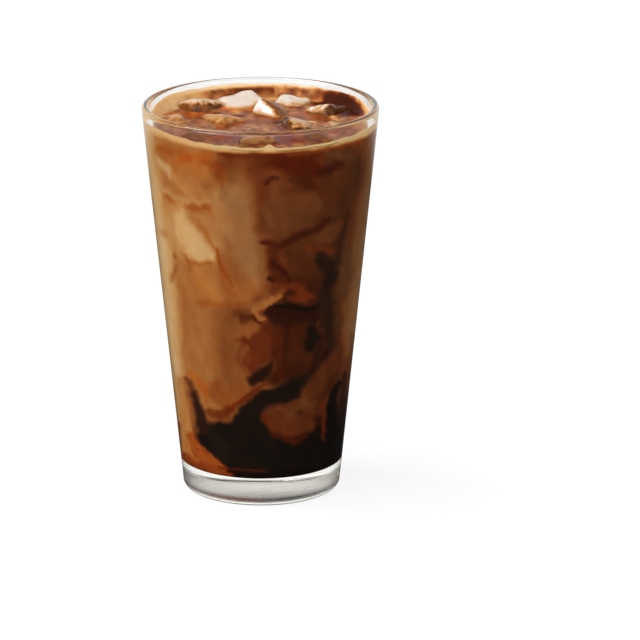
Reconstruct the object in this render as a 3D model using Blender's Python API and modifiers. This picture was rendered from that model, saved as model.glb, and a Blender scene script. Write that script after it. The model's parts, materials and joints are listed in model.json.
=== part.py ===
"""Iced latte in a clear tapered pint glass, with half-melted ice breaking its surface.

Metres, +Z up. The origin is at the centre of the glass's foot, on the surface it stands on.
The photograph looks along +Y, with +X to the right.
"""

import math
import random

import bmesh
import bpy
from mathutils import Vector

# The glass: a pint tumbler
GLASS_HEIGHT = 0.149
MOUTH_RADIUS = 0.0445
FOOT_RADIUS = 0.0295
WALL = 0.0028
LIP_RADIUS = 0.0015
HEEL_RADIUS = 0.0032
FOOT_RING_WIDTH = 0.0022
PUNT_SHOULDER = 0.0016
PUNT_EDGE_RISE = 0.0012
PUNT_RISE = 0.0015

# The clear base under the drink
FLOOR_HEIGHT = 0.0102
FLOOR_CORNER = 0.0040
FLOOR_SAG = 0.0006

# The drink and the collar of foam where it climbs the wall
DRINK_LEVEL = 0.1422
FOAM_RISE = 0.0016
FOAM_WIDTH = 0.0026

# Clearance between solids that touch
GAP = 0.0003

# Ice: where each piece's middle is, its edge, and its turn about X, Y and Z in degrees
ICE = [
    (-0.0070, 0.0279, 0.1353, 0.0165, 8, -6, 20),
    (0.0050, 0.0125, 0.1342, 0.0140, 24, 20, 40),
    (-0.0229, 0.0208, 0.1356, 0.0145, -14, 10, 35),
    (0.0125, 0.0282, 0.1362, 0.0132, 10, 6, -18),
    (0.0254, 0.0145, 0.1345, 0.0150, -20, 14, 52),
    (0.0145, -0.0075, 0.1353, 0.0150, 6, 16, 12),
    (-0.0135, 0.0020, 0.1348, 0.0160, -8, 18, 28),
    (-0.0323, 0.0010, 0.1365, 0.0115, 12, -10, 5),
    (-0.0213, -0.0208, 0.1355, 0.0140, 16, 8, -32),
    (-0.0010, -0.0285, 0.1355, 0.0155, -10, -8, 10),
    (0.0184, -0.0250, 0.1357, 0.0140, 12, -14, 44),
    (0.0298, -0.0060, 0.1362, 0.0120, -6, 12, 15),
]
ICE_CORNER_MELT = 0.22
ICE_CORNER_SHIFT = 0.07
ICE_SEED = 16

# Working colours, roughness and how strongly glass and ice bend light
GLASS_COLOUR = (0.93, 0.95, 0.92)
GLASS_ROUGHNESS = 0.02
GLASS_IOR = 1.5
DRINK_COLOUR = (0.30, 0.12, 0.035)
DRINK_ROUGHNESS = 0.12
DRINK_IOR = 1.34
ICE_COLOUR = (0.86, 0.80, 0.74)
ICE_ROUGHNESS = 0.05
ICE_IOR = 1.31

# Faceting
TURN_STEPS = 64
LIP_STEPS = 8
HEEL_STEPS = 5
CORNER_STEPS = 5
FLOOR_STEPS = 2
SURFACE_STEPS = 3
WALL_STEPS = 6
FOAM_STEPS = 4
ICE_BEVEL_STEPS = 3


def clear_scene():
    for obj in list(bpy.data.objects):
        bpy.data.objects.remove(obj, do_unlink=True)


def make_collection(name):
    collection = bpy.data.collections.new(name)
    bpy.context.scene.collection.children.link(collection)
    return collection


def make_material(name, colour, roughness, ior, transmission=0.0):
    material = bpy.data.materials.new(name)
    material.use_nodes = True
    shader = material.node_tree.nodes["Principled BSDF"]
    shader.inputs["Base Color"].default_value = (*colour, 1.0)
    shader.inputs["Roughness"].default_value = roughness
    shader.inputs["Metallic"].default_value = 0.0
    shader.inputs["Transmission Weight"].default_value = transmission
    shader.inputs["IOR"].default_value = ior
    return material


def outer_radius(z):
    """The glass's outside, a straight taper from foot to mouth."""
    return FOOT_RADIUS + (MOUTH_RADIUS - FOOT_RADIUS) * z / GLASS_HEIGHT


def inner_radius(z):
    return outer_radius(z) - WALL


def eased(share):
    """Runs from 0 to 1 with a level start and end."""
    return 0.5 - 0.5 * math.cos(math.pi * share)


def arc(centre, radius, start, end, steps):
    """Points round part of a circle in the profile's plane, from one angle to another in degrees."""
    points = []
    for step in range(steps + 1):
        angle = math.radians(start + (end - start) * step / steps)
        points.append((centre[0] + radius * math.cos(angle), centre[1] + radius * math.sin(angle)))
    return points


def straight(start, end, steps):
    """Points between two ends, without the ends themselves."""
    return [
        (start[0] + (end[0] - start[0]) * step / steps, start[1] + (end[1] - start[1]) * step / steps)
        for step in range(1, steps)
    ]


def floor_profile(inset):
    """From the axis out along the glass's floor and round its corner, moved in by inset."""
    centre_z = FLOOR_HEIGHT + FLOOR_SAG + FLOOR_CORNER
    centre_x = inner_radius(centre_z) - FLOOR_CORNER
    points = []
    for step in range(FLOOR_STEPS):
        share = step / FLOOR_STEPS
        points.append((centre_x * share, FLOOR_HEIGHT + FLOOR_SAG * share**2 + inset))
    return points + arc((centre_x, centre_z), FLOOR_CORNER - inset, -90, 0, CORNER_STEPS)


def underside_profile():
    """From the heel in across the foot ring and up into the shallow punt, to the axis."""
    heel_x = outer_radius(HEEL_RADIUS) - HEEL_RADIUS
    ring_inner = heel_x - FOOT_RING_WIDTH
    punt_x = ring_inner - PUNT_SHOULDER
    points = arc((heel_x, HEEL_RADIUS), HEEL_RADIUS, 0, -90, HEEL_STEPS)
    points.append((ring_inner, 0.0))
    points.append(((ring_inner + punt_x) / 2, PUNT_EDGE_RISE / 2))
    points.append((punt_x, PUNT_EDGE_RISE))
    points.append((punt_x / 2, (PUNT_EDGE_RISE + PUNT_RISE) / 2))
    points.append((0.0, PUNT_RISE))
    return points


def glass_profile():
    """Floor, inner wall, rolled lip, outer wall, heel and underside, from axis to axis."""
    floor = floor_profile(0.0)
    lip_z = GLASS_HEIGHT - LIP_RADIUS
    lip = arc((MOUTH_RADIUS - LIP_RADIUS, lip_z), LIP_RADIUS, 180, 0, LIP_STEPS)
    underside = underside_profile()
    inner_wall = straight(floor[-1], lip[0], WALL_STEPS)
    outer_wall = straight(lip[-1], underside[0], WALL_STEPS)
    return floor + inner_wall + lip + outer_wall + underside


def drink_profile():
    """Surface, foam collar, side and floor, from axis to axis, a gap inside the glass."""
    rim_z = DRINK_LEVEL + FOAM_RISE
    rim_x = inner_radius(rim_z) - GAP
    foam_x = rim_x - FOAM_WIDTH
    surface = [(foam_x * step / SURFACE_STEPS, DRINK_LEVEL) for step in range(SURFACE_STEPS)]
    foam = []
    for step in range(FOAM_STEPS + 1):
        share = step / FOAM_STEPS
        foam.append((foam_x + FOAM_WIDTH * share, DRINK_LEVEL + FOAM_RISE * eased(share)))
    floor = floor_profile(GAP)[::-1]
    floor[0] = (inner_radius(floor[0][1]) - GAP, floor[0][1])
    side = straight(foam[-1], floor[0], WALL_STEPS)
    return surface + foam + side + floor


def turned(name, profile, material, collection):
    """A solid of revolution about Z from a profile that starts and ends on the axis."""
    mesh = bpy.data.meshes.new(name)
    edges = [(index, index + 1) for index in range(len(profile) - 1)]
    mesh.from_pydata([(x, 0.0, z) for x, z in profile], edges, [])
    obj = bpy.data.objects.new(name, mesh)
    collection.objects.link(obj)
    screw = obj.modifiers.new("Turn", "SCREW")
    screw.axis = "Z"
    screw.steps = TURN_STEPS
    screw.render_steps = TURN_STEPS
    screw.use_merge_vertices = True
    screw.merge_threshold = 0.00001
    screw.use_smooth_shade = True
    mesh.materials.append(material)
    return obj


def ice_mesh(name, edge, corners, grow):
    """A cube with each corner pushed a little out of true and its edges melted round."""
    mesh = bpy.data.meshes.new(name)
    bm = bmesh.new()
    bmesh.ops.create_cube(bm, size=edge)
    for vert, shift in zip(bm.verts, corners):
        outward = Vector([math.copysign(grow, axis) for axis in vert.co])
        vert.co += shift * edge + outward
    bm.to_mesh(mesh)
    bm.free()
    mesh.shade_smooth()
    return mesh


def place_ice(name, row, corners, grow, collection):
    x, y, z, edge, turn_x, turn_y, turn_z = row
    obj = bpy.data.objects.new(name, ice_mesh(name, edge, corners, grow))
    obj.location = (x, y, z)
    obj.rotation_euler = [math.radians(angle) for angle in (turn_x, turn_y, turn_z)]
    bevel = obj.modifiers.new("Melt", "BEVEL")
    bevel.limit_method = "NONE"
    bevel.width = edge * ICE_CORNER_MELT + grow
    bevel.segments = ICE_BEVEL_STEPS
    collection.objects.link(obj)
    return obj


def make_glass(collection):
    material = make_material("clear_glass", GLASS_COLOUR, GLASS_ROUGHNESS, GLASS_IOR, transmission=1.0)
    return turned("glass", glass_profile(), material, collection)


def make_drink(collection):
    material = make_material("milky_coffee", DRINK_COLOUR, DRINK_ROUGHNESS, DRINK_IOR)
    return turned("latte", drink_profile(), material, collection)


def corner_shifts(draw):
    """How far each of a cube's eight corners has moved as it melted, as shares of its edge."""
    reach = ICE_CORNER_SHIFT
    return [Vector([draw.uniform(-reach, reach) for _ in "xyz"]) for _ in range(8)]


def make_ice(collection, cutters, drink):
    """Each piece of ice, and the pocket that it fills in the drink."""
    material = make_material("clear_ice", ICE_COLOUR, ICE_ROUGHNESS, ICE_IOR, transmission=0.9)
    draw = random.Random(ICE_SEED)
    for number, row in enumerate(ICE, 1):
        corners = corner_shifts(draw)
        piece = place_ice(f"ice_{number:02d}", row, corners, 0.0, collection)
        piece.data.materials.append(material)
        pocket = place_ice(f"ice_pocket_{number:02d}", row, corners, GAP, cutters)
        pocket.hide_render = True
        pocket.display_type = "WIRE"
        cut = drink.modifiers.new(f"Pocket {number}", "BOOLEAN")
        cut.operation = "DIFFERENCE"
        cut.object = pocket


def main():
    clear_scene()
    parts = make_collection("iced_latte")
    cutters = make_collection("cutters")
    make_glass(parts)
    drink = make_drink(parts)
    make_ice(parts, cutters, drink)


main()
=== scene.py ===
"""Looks of the iced latte: a clear tumbler, coffee with milk swirling through it, foam and half-melted ice.

The drink's colours all come from one rule, the share of coffee to milk at each point. The front is painted
with plumes of milk and coffee placed as the photograph shows them, in mm across and up, and the far side
with plumes of the same kind, by turn round the glass and by height. Some of the front's plumes are painted
light and shade instead: the pale edges, the paler left and darker right, the lit and shaded patches and the
glow at the lower left. The pockets round the ice are painted lighter, and the ice's white sides are painted
highlights.
"""

import json
import math

import bmesh
import bpy
import numpy as np
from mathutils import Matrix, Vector
from mathutils.bvhtree import BVHTree

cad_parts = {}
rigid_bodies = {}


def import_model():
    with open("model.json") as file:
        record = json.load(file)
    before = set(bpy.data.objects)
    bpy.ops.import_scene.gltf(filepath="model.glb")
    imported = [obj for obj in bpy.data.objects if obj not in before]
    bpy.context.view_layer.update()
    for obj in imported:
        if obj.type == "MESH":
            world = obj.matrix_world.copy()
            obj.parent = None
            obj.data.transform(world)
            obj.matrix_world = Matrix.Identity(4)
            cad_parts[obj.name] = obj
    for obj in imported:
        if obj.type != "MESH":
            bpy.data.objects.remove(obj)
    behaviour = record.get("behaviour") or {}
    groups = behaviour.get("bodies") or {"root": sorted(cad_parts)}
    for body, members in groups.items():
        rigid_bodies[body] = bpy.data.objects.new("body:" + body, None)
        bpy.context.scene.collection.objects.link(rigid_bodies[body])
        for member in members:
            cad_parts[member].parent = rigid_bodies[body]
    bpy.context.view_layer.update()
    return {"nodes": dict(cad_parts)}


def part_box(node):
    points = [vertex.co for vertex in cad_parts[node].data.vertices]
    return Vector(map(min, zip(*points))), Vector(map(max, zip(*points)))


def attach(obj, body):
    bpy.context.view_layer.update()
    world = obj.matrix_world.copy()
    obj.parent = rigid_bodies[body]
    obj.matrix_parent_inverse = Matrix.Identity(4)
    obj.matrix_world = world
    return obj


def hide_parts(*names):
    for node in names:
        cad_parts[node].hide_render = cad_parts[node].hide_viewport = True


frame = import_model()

MM = 0.001

# The glass, in millimetres: its height and mouth are the frame's, the rest repeats the part's sizes
GLASS_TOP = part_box("glass")[1]
HEIGHT = GLASS_TOP.z / MM
MOUTH_R = GLASS_TOP.x / MM
FOOT_R = 29.5
WALL = 2.8
LIP_R = 1.5
HEEL_R = 3.2
FOOT_RING = 2.2
PUNT_RISE = 1.2
PUNT_SHOULDER = 1.6
FLOOR_Z = 10.2
FLOOR_CORNER = 4.0
FLOOR_SAG = 0.6
GLASS_STEPS = 192

# The glass's finishes, the wall's and, below a height in mm, the base's: tint, least and most roughness, and
# the depth of its waves in metres. The waves have their own scale and detail
BASE_TOP = 11.6
WALL_FINISH = ((0.87, 0.875, 0.86), 0.004, 0.02, 0.00002)
BASE_FINISH = ((0.985, 0.965, 0.885), 0.22, 0.30, 0.000004)
GLASS_WAVES = (60.0, 2.0)
GLASS_LAMP_TINT = (0.97, 0.975, 0.965)
GLASS_IOR = 1.5

# The drink, in millimetres, with how far it reaches into the wall and the ice into it
LEVEL = 142.2
FOAM_RISE = 1.6
FOAM_WIDTH = 2.6
INTO_WALL = 0.15
INTO_DRINK = 0.12

# How its edge lies on the wall: mm up at the back, over a stretch of y, and at the left, the right and a
# small peak, and mm down in front, each at a turn from the front and with a spread in degrees
BACK_CLIMB, BACK_START, BACK_END = 3.0, 0.0, 23.0
LEFT_CLIMB, RIGHT_CLIMB, SIDE_TURN, SIDE_SPREAD = 0.9, 0.35, 66, 24
FRONT_DIP, DIP_TURN, DIP_SPREAD = 1.1, 14, 45
PEAK_CLIMB, PEAK_TURN, PEAK_SPREAD = 1.5, 4.5, 2.4

# How it climbs the ice: mm up at the ice, and the reach in mm
ICE_CLIMB, ICE_CLIMB_REACH = 0.55, 0.9

# Its mesh: steps round the axis, how far they crowd to the front, and the rows' spacing in mm
DRINK_STEPS = 360
FRONT_CROWD = 0.4
SIDE_ROW = 0.6
TOP_ROW = 1.1

# Its finishes, for its side and its top: roughness, shine, mottling and the height of its ripples in metres.
# Mottling and ripples share a fine noise, with its scale, detail and distortion
SIDE_FINISH = (0.7, 0.0, 0.0, 0.0)
TOP_FINISH = (0.22, 0.06, 0.10, 0.00005)
DRINK_GRAIN = (900.0, 4.0, 0.6)
DRINK_IOR = 1.34

# How coffee and milk mix: the green and blue light that coffee takes for each part of red, and the least that
# it sends back. A level says how dark a mix is, as a power of ten, and a warmth above 1 makes it redder
GREEN_TAKEN = 5.0
BLUE_TAKEN = 24.0
DARKEST = 0.002
MILKIEST, BLACKEST = -1.6, 2.1
FOAM_LEVEL, FOAM_WARMTH = -1.28, 1.02
# The pockets round the ice are painted paler and more amber than the drink: painted light, standing in for the
# light that the ice and the milky drink carry into them
POCKET_LIGHT_LEVEL, POCKET_LIGHT_WARMTH = -0.55, 1.15

# The camera, by the photograph: where a point on the glass's axis falls in the 640 by 640 frame
FRAME_PX = 640
AXIS_POINT_Z = 75.0
AXIS_POINT_PX = (261.1, 294.0)
PX_PER_MM = 2.647
CAMERA_DISTANCE = 2000.0
CAMERA_RISE_DEG = 15.95
SENSOR_MM = 36.0

# The light: how bright the room is before and behind the glass, the long lamp's brightness, direction, the
# way its length runs and its half-sizes as seen from the glass, and the window's brightness and direction
FRONT_LIGHT, BACK_LIGHT = 4.6, 1.3
LAMP_LIGHT = 9.0
LAMP_SIDE = (-0.43, 0.10, 0.90)
LAMP_LONG = (-0.415, 0.45, -0.274)
LAMP_HALF_SIZES = (0.36, 0.16)
WINDOW_LIGHT = 3.0
WINDOW_SIDE = (-0.76, -0.55, 0.34)

# The floor: half its width and where its dark card fades out, in metres, and their greys and its glow
FLOOR_HALF = 6.0
CARD_START, CARD_END = 0.42, 0.62
FLOOR_GREY, CARD_GREY, FLOOR_GLOW = 0.22, 0.02, 0.78

# The front is measured as it is seen: mm across from the axis, and mm up from the glass's lowest edge in
# view, with how far the wall's bending of light lifts what shows through it
SEEN_AXIS_POINT_UP = 80.0
SIGHT_RISE = 0.45

# Plumes of the front. Each has a name, its level, from -1.2 for cream to 1.9 for black coffee, its warmth, the
# blur of its edge in mm, its strength, and points: across, up and half-width in mm
FRONT_PLUMES = [
    # The broad fields are paler at the left and darker at the right: partly the milk and coffee, partly
    # painted light and shade, as the light falls from the left
    ("caramel side", -0.34, 1.04, 9, 1, [(-40, 125, 24), (-34, 90, 22), (-28, 60, 20), (-26, 45, 18)]),
    ("shaded caramel", 0.08, 1.02, 4, 1, [(-13, 71, 4.5), (-12, 60, 5), (-12, 48, 4)]),
    ("brown side", 0.58, 1, 7, 1, [(24, 126, 18), (20, 100, 16), (16, 84, 10)]),
    ("dark right", 0.85, 1.05, 5, 1, [(17, 76, 12), (16, 62, 14), (18, 50, 12)]),
    ("brown top, middle", 0.3, 1.18, 4, 1, [(-13, 129, 4), (-5, 127, 4)]),
    # The pale strips along both edges are painted reflection of the bright room at the glass's edges; the lit
    # strip on the right is its brightest part
    ("left edge, painted reflection", -1.2, 0.92, 2.8, 0.95,
     [(-44, 144, 3), (-43, 132, 3), (-38, 104, 3.2), (-34.5, 72, 2.8), (-32, 50, 1.8)]),
    ("right edge, painted reflection", -0.06, 0.76, 2.4, 0.85,
     [(44, 142, 2.4), (42, 130, 2.4), (38.5, 108, 2.4), (36, 84, 2.8), (34, 68, 2.4), (32.5, 58, 0.6)]),
    ("right edge, lit", -0.62, 0.8, 1.5, 0.85,
     [(44.6, 142, 1.2), (43, 128, 1.1), (39.4, 100, 1.2), (36.6, 78, 1.2), (34.8, 66, 0.6)]),
    ("rust under the foam, left", -0.16, 1.4, 1.8, 0.7,
     [(-38, 135, 1.2), (-34, 134, 1.6), (-30, 134, 1.3)]),
    ("bright amber", -0.46, 1.6, 1.8, 0.95, [(-30, 131.5, 1.6), (-25, 131.3, 2), (-20, 132, 1.6)]),
    ("amber round the ice", -0.42, 1.3, 2, 0.8, [(-36, 131, 1.5), (-30, 128, 2), (-22, 129, 2)]),
    ("dark under the foam", 0.6, 1.25, 1.4, 0.9,
     [(-15, 133.2, 0.8), (-4, 132, 1.2), (8, 132, 1.6), (24, 132.5, 1.6)]),
    ("dark red top", 0.74, 1.48, 2.6, 0.95, [(1, 129, 1.6), (8, 129.5, 3), (14, 128, 4), (20, 128, 3.2)]),
    ("dark red top, foot", 0.78, 1.2, 2.6, 0.9, [(15, 124, 2.5), (19, 120, 2)]),
    ("rose fleck", 0.36, 0.95, 1.4, 0.6, [(22, 130, 0.8), (23.5, 128, 0.7)]),
    ("olive haze, right", 0.44, 0.72, 2, 0.8, [(26, 132.5, 1.4), (30, 131.5, 1.6), (34, 133, 1)]),
    ("dark dash, right", 0.98, 1.25, 1.6, 0.9, [(22, 126, 1), (26, 127.2, 1.3), (30, 129, 0.9)]),
    ("orange under the foam, right", 0.05, 1.4, 0.6, 0.9,
     [(10, 132.9, 0.3), (20, 133.6, 0.4), (30, 135.4, 0.5), (38, 138.2, 0.5)]),
    ("rust streak beside the ice", -0.04, 1.4, 1.3, 0.85,
     [(-21, 130, 1), (-17, 128, 1.1), (-14.5, 125, 1), (-13.5, 121, 0.6)]),
    ("milk wedge", -0.88, 0.84, 1.2, 0.9,
     [(-38.2, 130.6, 0.8), (-36.6, 128.8, 1.4), (-35, 126.6, 1.2), (-34.4, 124.2, 0.5)]),
    ("sunk ice, body", -0.4, 1.06, 1.6, 0.95, [(-28, 124, 5.2), (-26, 121.6, 6.2), (-23, 121, 5.4)]),
    ("sunk ice, amber top", -0.48, 1.22, 1.8, 0.9, [(-31, 126.5, 1.6), (-26, 127.2, 2), (-21, 126.4, 1.6)]),
    ("sunk ice, shade", -0.05, 0.98, 2, 0.85, [(-20, 121.5, 2.4), (-18.5, 118.8, 1.8)]),
    ("sunk ice, first stripe", -0.7, 1.02, 1.3, 0.65,
     [(-33, 125.5, 0.7), (-30.5, 121.5, 1), (-27.5, 118, 1), (-24, 115.6, 0.7)]),
    ("sunk ice, second stripe", -0.6, 1.06, 1.2, 0.5,
     [(-29.5, 124.5, 0.7), (-27, 120.6, 0.8), (-23.5, 117.4, 0.7)]),
    ("sunk ice, third stripe", -0.56, 1.02, 1.2, 0.4, [(-26, 124, 0.7), (-24, 121, 0.8), (-21, 117.6, 0.7)]),
    # Painted highlight along the sunk ice's lower rim
    ("sunk ice, painted highlight on the lower rim", -0.66, 0.92, 1.3, 0.85,
     [(-37, 120, 1), (-33, 117, 1.2), (-28, 115, 1.1), (-23, 114.5, 0.9), (-18.5, 115.6, 0.7)]),
    ("rust arc", -0.22, 1.34, 0.9, 0.9,
     [(-35.6, 117.2, 0.7), (-33, 114.4, 0.9), (-29, 112.8, 0.8), (-24, 112.6, 0.7), (-20, 113.3, 0.6)]),
    ("rust arc, glow", -0.5, 1.3, 1, 0.8, [(-33, 112.6, 0.8), (-29, 111.6, 0.8)]),
    ("rust arc, tail", -0.2, 1.4, 0.6, 0.85, [(-20.5, 113, 0.5), (-18.6, 111.6, 0.6), (-17, 110.4, 0.4)]),
    ("speck", 0.45, 1, 0.7, 0.8, [(-11.4, 120.4, 0.4), (-10.6, 119.6, 0.5)]),
    ("speck, upper", 0.36, 1.05, 0.6, 0.7, [(-11, 123.4, 0.3), (-10.4, 122.8, 0.3)]),
    ("milky plume, crown", 0.02, 0.92, 4, 0.9, [(-9, 124, 4), (-8, 118, 5.5)]),
    ("milky plume", -0.2, 0.84, 3.6, 0.95,
     [(-9, 114, 7), (-8, 106, 7.5), (-6, 98, 6.4), (-4, 92, 5), (-3, 87, 4)]),
    ("milky plume, pale left", -0.42, 0.94, 2.2, 0.9, [(-17, 118, 2.2), (-15.5, 111, 2.6), (-14, 105, 2.4)]),
    ("plume's right edge", 0.05, 0.88, 1, 0.6, [(-1, 100, 1.2), (0, 94, 1.4), (0.4, 88, 1.2)]),
    ("olive beside the plume", 0.5, 1.12, 3.4, 0.85,
     [(-1, 127, 3), (0.6, 119, 3), (1.4, 111, 2.2), (0.6, 104, 1.4)]),
    ("dark blob", 1.05, 1.2, 1.1, 0.9, [(1.4, 121.4, 0.7), (3.2, 123, 0.9), (6.2, 123.3, 0.6)]),
    ("light thread", 0.34, 1.2, 0.5, 0.7, [(1.8, 124.9, 0.2), (4.5, 124.7, 0.3), (7.4, 124.8, 0.2)]),
    ("rose haze", 0.32, 1.08, 1.3, 0.8, [(6.5, 121.4, 0.8), (10.5, 121.8, 0.7)]),
    ("speck, middle", 0.98, 1.1, 0.9, 0.7, [(10.2, 123.1, 0.3), (11, 122.8, 0.4)]),
    ("medium cloud", 0.38, 0.94, 1.8, 0.95, [(4, 112, 4), (11, 112.5, 5.5), (18, 114, 4.5)]),
    ("medium cloud, lower", 0.44, 0.92, 1.5, 0.95, [(5, 105.5, 4), (11, 105.5, 4.4), (16, 108, 4)]),
    ("medium cloud, lit left", 0.22, 0.92, 1.5, 0.7, [(2.5, 110.5, 1.5), (4.5, 106, 1.4)]),
    ("brown patch, right", 0.58, 1.02, 2.5, 0.8, [(27, 119, 3.4), (29, 115, 3)]),
    ("purple shade, right", 0.72, 0.82, 2.2, 0.8,
     [(37, 130, 1.6), (34.5, 120, 2), (31, 112.5, 2), (27.5, 108, 1.6)]),
    ("line under the cloud", 0.88, 1.15, 1, 0.95,
     [(1, 99.4, 0.8), (7, 98.4, 1.1), (13, 101.2, 1.2), (18, 103.8, 1.2), (22, 105.2, 1.1), (25, 108.6, 1)]),
    ("second lobe", 0.4, 0.95, 1.2, 0.95, [(21.5, 100.4, 1.6), (25.5, 102.2, 2.6), (29.4, 105.6, 2)]),
    ("second lobe's outline", 0.98, 0.82, 1.3, 0.8,
     [(27, 98, 0.5), (29.8, 100.4, 0.9), (31.6, 104.6, 0.9), (33, 109.5, 0.9)]),
    ("rust under the lobe", 0.36, 1.32, 1, 0.85, [(17, 97.2, 0.7), (22, 97.2, 1), (27.4, 95.8, 0.6)]),
    ("leaf, top", -0.7, 1, 1.6, 0.9, [(-30, 113, 1.5), (-30, 110.5, 2.8)]),
    ("leaf's soft ground", -0.74, 0.98, 3, 0.9,
     [(-31, 112, 3), (-30, 104, 5.5), (-26.5, 97, 4.5), (-19, 98, 4)]),
    ("cream leaf", -1.02, 0.96, 1.4, 1,
     [(-30.4, 109, 2.2), (-28.8, 104.4, 3.6), (-25.4, 98.6, 4.2), (-22.2, 95.4, 3), (-19, 94, 1.6)]),
    ("leaf's left shade", -0.72, 0.94, 1.4, 0.8,
     [(-34.6, 109, 0.8), (-33.6, 104, 0.9), (-31.4, 99, 0.8), (-29, 94.6, 0.7)]),
    ("second leaf", -0.48, 0.98, 2, 0.8,
     [(-21.5, 109, 1.4), (-18, 104, 2), (-15.2, 99.4, 1.5), (-14, 96.6, 0.7)]),
    ("notch beside the leaf", -0.2, 1.28, 1, 0.75,
     [(-23.4, 108, 0.3), (-21, 104, 0.6), (-20, 101.2, 0.8), (-18.2, 98.2, 0.5), (-16.2, 96.2, 0.5)]),
    ("line under the leaf", -0.18, 1.22, 1, 0.75,
     [(-27.6, 92.8, 0.4), (-24.5, 91.2, 0.6), (-19.6, 91.2, 0.4)]),
    ("line under the leaf, left", -0.1, 1.2, 0.9, 0.5,
     [(-30, 96.4, 0.2), (-27.6, 92.8, 0.4), (-26.6, 89.4, 0.3)]),
    ("caramel under the leaf", -0.52, 1.2, 2.2, 0.9, [(-24, 88, 2.6), (-21, 83, 3.2), (-17, 79, 2.6)]),
    ("caramel, middle", -0.34, 1.15, 2.6, 0.85, [(-12, 82, 3), (-6, 80, 3.4), (-4, 83, 3)]),
    ("rust line", -0.04, 1.5, 1.1, 0.85,
     [(-16.2, 97, 0.3), (-15.6, 93.4, 0.8), (-14, 89, 1), (-12, 85.4, 0.6), (-10.8, 83, 0.2)]),
    ("rust line, glow", -0.22, 1.32, 1.4, 0.7, [(-14.6, 88, 1), (-13.4, 83, 1.2), (-10, 80, 1.2)]),
    ("spot, upper left", -0.22, 0.95, 1.5, 0.6, [(-37, 103.4, 0.8), (-36.2, 102.4, 0.9)]),
    ("spot, middle left", 0.25, 0.95, 0.9, 0.7, [(-32.8, 95.2, 0.4), (-32.4, 93.8, 0.4)]),
    ("spot, lower left", 0.1, 0.9, 1.4, 0.7, [(-32, 90.4, 0.5), (-33.4, 87.4, 1), (-33.6, 85.6, 0.7)]),
    ("rust heart behind the plume", 0.72, 1.22, 1.3, 0.95, [(4, 96, 2.4), (5, 91, 2.8), (7.5, 87, 3)]),
    ("heart's dark line", 1.02, 1.15, 0.7, 0.9,
     [(3.4, 93, 0.6), (6, 90.4, 0.8), (9.4, 87, 0.7), (10.6, 83.4, 0.7), (9.6, 80.4, 0.6)]),
    ("heart's knot", 1.22, 1.05, 1, 0.9, [(3.6, 85.8, 0.9), (4.8, 85, 0.7)]),
    ("brown under the line", 0.72, 1.02, 2, 0.8, [(10, 96, 2), (15, 93, 2.6), (17.5, 87, 2.6)]),
    ("rust curl", 0.3, 1.32, 1.2, 0.9, [(6, 83, 1), (13.4, 83, 1.6), (15.6, 79.6, 2)]),
    ("rust curl, lower", 0.28, 1.35, 1, 0.9, [(11, 78.6, 1), (15, 78, 1.3), (19, 79, 1)]),
    ("curl's pale side", 0, 1.12, 0.9, 0.9, [(8.6, 81.6, 1), (6.4, 79.8, 1.2), (4, 78.6, 1)]),
    ("olive black", 1.34, 0.62, 1.9, 1,
     [(22.6, 93, 2), (25.6, 90.8, 3.2), (26.6, 87, 3), (25, 83, 2.2), (24.6, 78, 2)]),
    ("dark trail up", 1.05, 0.75, 1.4, 0.85, [(29, 93, 1.5), (30.4, 99, 1), (31.6, 105, 0.8)]),
    ("grey right", 0.55, 0.66, 1.8, 0.85, [(32.6, 96, 1.6), (32, 88, 1.8), (30.4, 80, 2)]),
    ("green notch", 0.34, 0.98, 1.2, 0.9, [(-9.6, 72.6, 1.6), (-6, 74, 1.4)]),
    ("olive blob", 0.7, 1.1, 1.2, 0.9, [(-7, 70.4, 1.6), (-4.6, 71, 1.2)]),
    ("dark lid", 1.25, 1.02, 1, 1, [(3.6, 73.4, 2.6), (9, 73.4, 2.8), (15, 72.6, 2.8), (20, 72.4, 2.6)]),
    ("dark lid, foot", 1.12, 1.05, 1.2, 0.9, [(4, 70, 1.4), (12, 69.4, 1.6), (18, 69.4, 1.4)]),
    ("dark lid's edge", 1.72, 0.6, 0.6, 0.95,
     [(3.6, 76.2, 0.5), (8, 75.9, 0.7), (13, 74.9, 0.9), (18, 74.4, 1), (22, 75.6, 1)]),
    ("right dark seam", 1.22, 0.68, 2.2, 0.95,
     [(23.8, 79, 2.2), (25, 72, 2.4), (25.8, 66, 2), (25.6, 60, 1.6), (24, 56, 1.2)]),
    ("grey thread", 0.7, 0.65, 0.4, 0.7, [(22.2, 70.6, 0.3), (21, 67.4, 0.3)]),
    ("grey veil, right", 0.72, 0.66, 1.6, 0.8, [(27.6, 79, 1), (29, 73, 1.2), (28.6, 66, 1.2)]),
    ("tendril", -0.36, 1.1, 0.6, 1,
     [(6.6, 79.4, 0.7), (3, 77.4, 1.2), (-0.6, 75.4, 1.2), (-2.4, 73.6, 1.1), (-1.4, 71.6, 0.8),
      (0.3, 70.4, 0.9)]),
    ("tendril's left", -0.16, 1.08, 0.9, 0.8, [(-1, 76, 0.8), (-5, 75.2, 0.8), (-7.4, 74.6, 0.4)]),
    ("red notch", 0.9, 1.35, 0.6, 0.9, [(-3.6, 72.2, 0.4), (-2.2, 70.2, 0.6), (-0.4, 68.6, 0.4)]),
    ("rose edge", -0.12, 1.3, 1.6, 0.7, [(-23, 77.4, 1), (-15, 76.2, 0.8), (-8, 76, 0.8)]),
    ("red brown heart", 0.66, 1.3, 1.8, 0.95, [(2, 66.6, 2.2), (5, 62, 3.6), (6.6, 57.4, 2.8)]),
    ("brown drop", 0.44, 1.28, 1, 0.95,
     [(-6, 62.6, 1.6), (-1, 62, 3.6), (-0.6, 58, 4.4), (-3.4, 55, 3.4), (-4, 51.6, 1.2)]),
    ("drop's glow", 0.12, 1.24, 1.6, 0.8, [(-6, 58.6, 1.2), (-4.4, 55, 1.2)]),
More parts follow.
